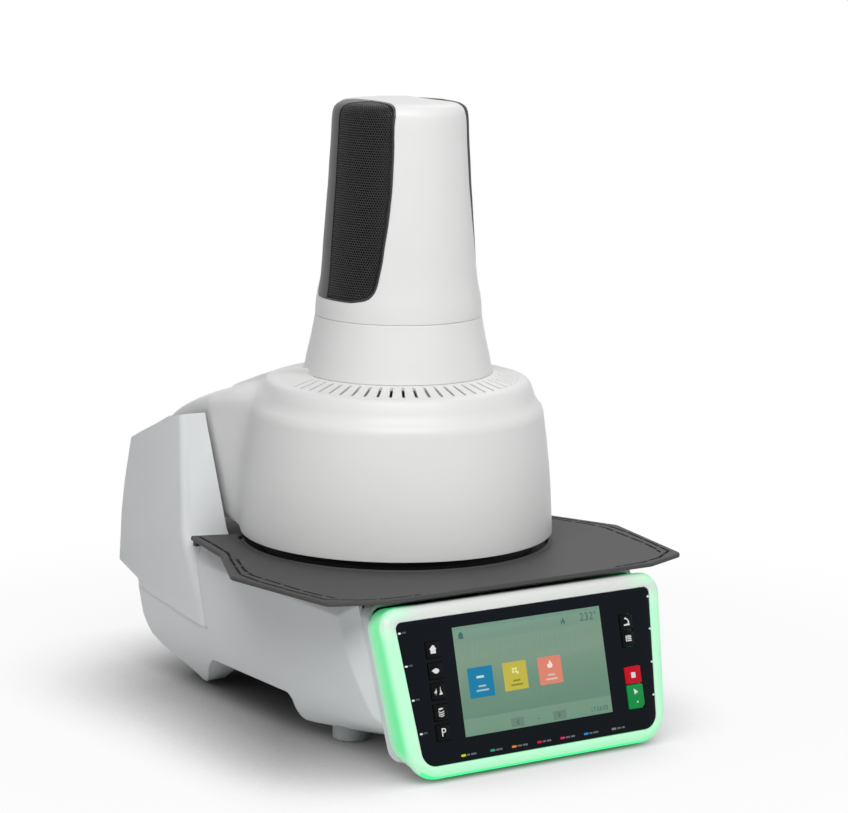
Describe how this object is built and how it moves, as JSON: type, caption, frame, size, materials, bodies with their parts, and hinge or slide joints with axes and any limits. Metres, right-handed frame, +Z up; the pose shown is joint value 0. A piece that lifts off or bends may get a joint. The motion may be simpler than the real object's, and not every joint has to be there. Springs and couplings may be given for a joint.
{
  "type": "dental lab furnace",
  "caption": "Bench-top dental press furnace: pale grey base with lit control panel, black cooling tray, and a tilting round furnace head that carries a press tower with perforated grilles.",
  "frame": {"origin": "on the table, under the middle of the whole furnace", "axes": "+Z up, -Y towards the user, +X to the user's right"},
  "size_m": [0.3892, 0.457, 0.5205],
  "materials": {
    "grey_cover": "satin pale grey paint over moulded plastic",
    "foot_rubber": "grey rubber",
    "dark_steel": "dark coated steel",
    "steel": "satin steel",
    "brass": "turned brass",
    "black_plastic": "matte black",
    "light_ring": "translucent green diffuser, lit from behind",
    "panel_glass": "black printed glass, glossy",
    "screen": "lit display",
    "circuit_board": "green lacquer",
    "key_black": "black, glossy",
    "key_red": "red",
    "key_green": "green",
    "black_coat": "fine textured black coat",
    "seal_rubber": "black seal",
    "ceramic": "unglazed, pale",
    "quartz": "milky quartz",
    "white_cover": "satin off-white paint"
  },
  "bodies": {
    "base": {"base_shell": "grey_cover", "rear_housing": "grey_cover", "panel_housing": "grey_cover", "foot_front_left": "foot_rubber", "foot_front_right": "foot_rubber", "foot_rear_left": "foot_rubber", "foot_rear_right": "foot_rubber", "bottom_plate": "dark_steel", "rear_cover": "dark_steel", "lift_motor": "dark_steel", "vacuum_valve": "dark_steel", "hinge_pin": "steel", "table_support": "steel", "power_supply": "steel", "hinge_bush_left": "brass", "hinge_bush_right": "brass", "vacuum_port": "brass", "power_inlet": "black_plastic", "base_deck": "black_plastic", "tray_hook_left": "black_plastic", "tray_hook_right": "black_plastic", "light_ring": "light_ring", "panel_glass": "panel_glass", "display_screen": "screen", "control_board": "circuit_board", "cooling_tray": "black_coat", "seal_ring": "seal_rubber", "firing_table": "ceramic"},
    "head": {"head_shell": "white_cover", "head_flange": "dark_steel", "insulation": "ceramic", "insulation_cap": "ceramic", "heating_muffle": "quartz", "thermocouple": "ceramic", "tower_skirt": "white_cover", "tower_shell": "white_cover", "grille_left": "black_plastic", "grille_right": "black_plastic", "motor_plate": "steel", "press_motor": "dark_steel", "press_screw": "steel", "guide_rod_left": "steel", "guide_rod_right": "steel"},
    "press_ram": {"press_crosshead": "steel", "press_plunger": "ceramic"},
    "key_left_1_cap": {"key_left_1": "key_black"},
    "key_left_2_cap": {"key_left_2": "key_black"},
    "key_left_3_cap": {"key_left_3": "key_black"},
    "key_left_4_cap": {"key_left_4": "key_black"},
    "key_left_5_cap": {"key_left_5": "key_black"},
    "key_right_1_cap": {"key_right_1": "key_black"},
    "key_right_2_cap": {"key_right_2": "key_black"},
    "key_stop_cap": {"key_stop": "key_red"},
    "key_start_cap": {"key_start": "key_green"},
    "rocker": {"power_switch": "black_plastic"}
  },
  "joints": [
    {"name": "head_tilt", "type": "hinge", "parent": "base", "child": "head", "pos_m": [0, 0.16603, 0.19], "axis": [-1, 0, 0], "range_deg": [0, 45]},
    {"name": "press_stroke", "type": "slide", "parent": "head", "child": "press_ram", "axis": [0, 0, -1], "range_m": [0, 0.055]},
    {"name": "key_left_1_push", "type": "slide", "parent": "base", "child": "key_left_1_cap", "axis": [0, 0.9665, -0.2566], "range_m": [0, 0.0006], "stiffness_N_per_m": 2500, "springref_m": -0.0002},
    {"name": "key_left_2_push", "type": "slide", "parent": "base", "child": "key_left_2_cap", "axis": [0, 0.9665, -0.2566], "range_m": [0, 0.0006], "stiffness_N_per_m": 2500, "springref_m": -0.0002},
    {"name": "key_left_3_push", "type": "slide", "parent": "base", "child": "key_left_3_cap", "axis": [0, 0.9665, -0.2566], "range_m": [0, 0.0006], "stiffness_N_per_m": 2500, "springref_m": -0.0002},
    {"name": "key_left_4_push", "type": "slide", "parent": "base", "child": "key_left_4_cap", "axis": [0, 0.9665, -0.2566], "range_m": [0, 0.0006], "stiffness_N_per_m": 2500, "springref_m": -0.0002},
    {"name": "key_left_5_push", "type": "slide", "parent": "base", "child": "key_left_5_cap", "axis": [0, 0.9665, -0.2566], "range_m": [0, 0.0006], "stiffness_N_per_m": 2500, "springref_m": -0.0002},
    {"name": "key_right_1_push", "type": "slide", "parent": "base", "child": "key_right_1_cap", "axis": [0, 0.9665, -0.2566], "range_m": [0, 0.0006], "stiffness_N_per_m": 2500, "springref_m": -0.0002},
    {"name": "key_right_2_push", "type": "slide", "parent": "base", "child": "key_right_2_cap", "axis": [0, 0.9665, -0.2566], "range_m": [0, 0.0006], "stiffness_N_per_m": 2500, "springref_m": -0.0002},
    {"name": "key_stop_push", "type": "slide", "parent": "base", "child": "key_stop_cap", "axis": [0, 0.9665, -0.2566], "range_m": [0, 0.0006], "stiffness_N_per_m": 2500, "springref_m": -0.0002},
    {"name": "key_start_push", "type": "slide", "parent": "base", "child": "key_start_cap", "axis": [0, 0.9665, -0.2566], "range_m": [0, 0.0006], "stiffness_N_per_m": 2500, "springref_m": -0.0002},
    {"name": "switch_rock", "type": "hinge", "parent": "base", "child": "rocker", "pos_m": [-0.022, 0.21303, 0.1225], "axis": [-1, 0, 0], "range_deg": [0, 16]}
  ]
}
